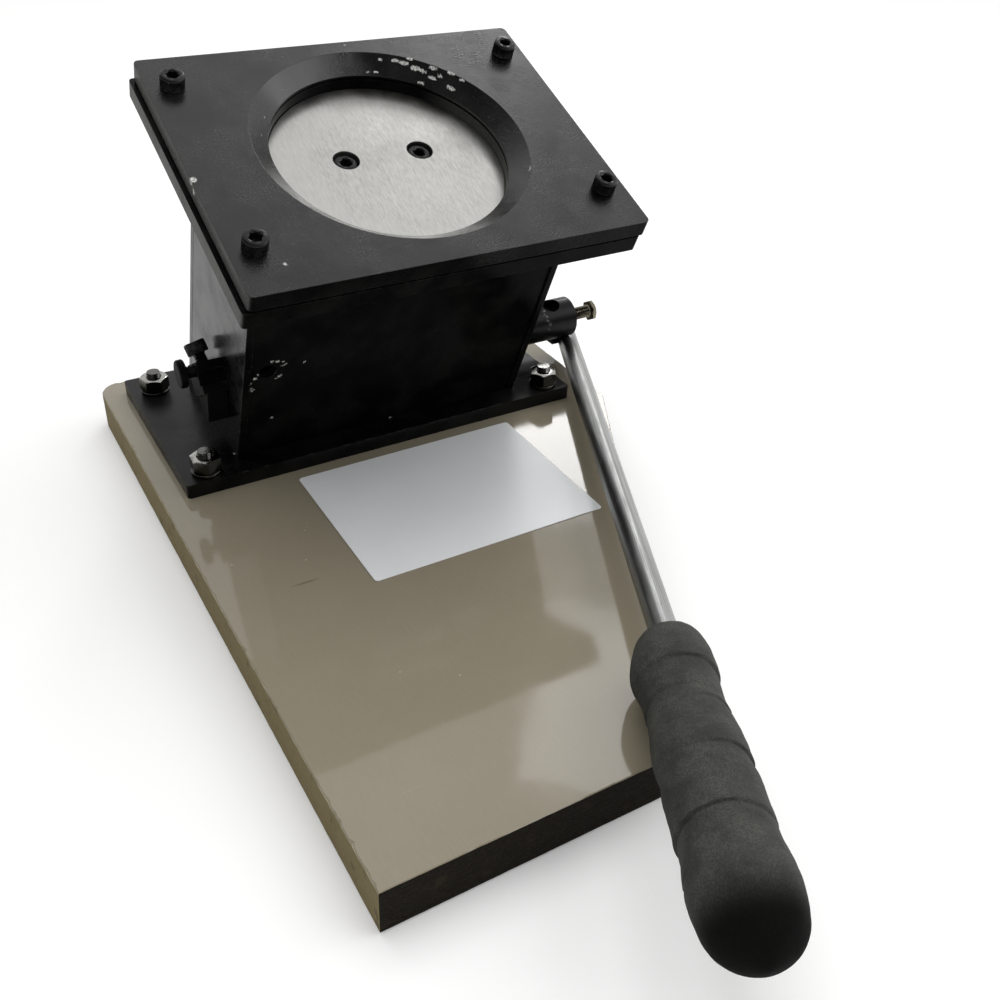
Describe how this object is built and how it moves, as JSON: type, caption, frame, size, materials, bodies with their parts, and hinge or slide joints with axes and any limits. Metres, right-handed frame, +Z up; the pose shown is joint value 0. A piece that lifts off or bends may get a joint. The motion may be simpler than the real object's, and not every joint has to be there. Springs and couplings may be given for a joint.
{
  "type": "round die cutter",
  "caption": "Bench die cutter on a board: a side lever turns a crank that lifts a round punch through a slanted bed plate into a coned die plate to cut discs from sheet.",
  "frame": {"origin": "on the underside of the board, under the middle of the die hole at the head's top face", "axes": "+X along the lever shaft to the lever side, +Y from the operator to the back, +Z up from the table"},
  "size_m": [0.2203, 0.3739, 0.1701],
  "materials": {
    "laminate_board": "glossy beige laminate on a wood-fibre board",
    "foil": "plain silver foil plate",
    "black_paint": "semi-gloss black paint",
    "zinc": "zinc plated",
    "black_oxide": "black oxide",
    "ground_steel": "ground bright",
    "plain_steel": "plain machined",
    "bronze": "sintered bronze",
    "chrome": "chrome plated",
    "foam": "matt black foam rubber"
  },
  "bodies": {
    "frame": {"base_board": "laminate_board", "foil_plate": "foil", "base_plate": "black_paint", "mount_bolts": "zinc", "mount_washers": "zinc", "mount_nuts": "zinc", "left_side_plate": "black_paint", "right_side_plate": "black_paint", "front_plate": "black_paint", "back_plate": "black_paint", "corner_lugs": "plain_steel", "back_screws": "zinc", "guide_bars": "plain_steel", "guide_cheeks": "plain_steel", "bearing_bosses": "plain_steel", "shaft_bushes": "bronze", "bed_plate": "black_paint", "gap_shims": "plain_steel", "die_plate": "black_paint", "plate_screws": "black_oxide"},
    "ram_group": {"ram": "plain_steel", "punch": "ground_steel", "punch_screws": "black_oxide"},
    "lever_group": {"crankshaft": "plain_steel", "lever_hub": "black_paint", "hub_pin": "plain_steel", "hub_bolt": "zinc", "lever_rod": "chrome", "grip": "foam", "stop_arm": "black_paint", "stop_screw": "black_oxide", "arm_bolt": "black_oxide"}
  },
  "joints": [
    {"name": "lever_turn", "type": "hinge", "parent": "frame", "child": "lever_group", "pos_m": [0, 0.0404, 0.0391], "axis": [-1, 0, 0], "range_deg": [0, 35]},
    {"name": "ram_slide", "type": "slide", "parent": "frame", "child": "ram_group", "axis": [0, -0.3955, 0.9184], "range_m": [0, 0.005]}
  ],
  "couplings": [
    {"joint": "ram_slide", "follows": "lever_turn", "m_per_rad": 0.0081716}
  ]
}
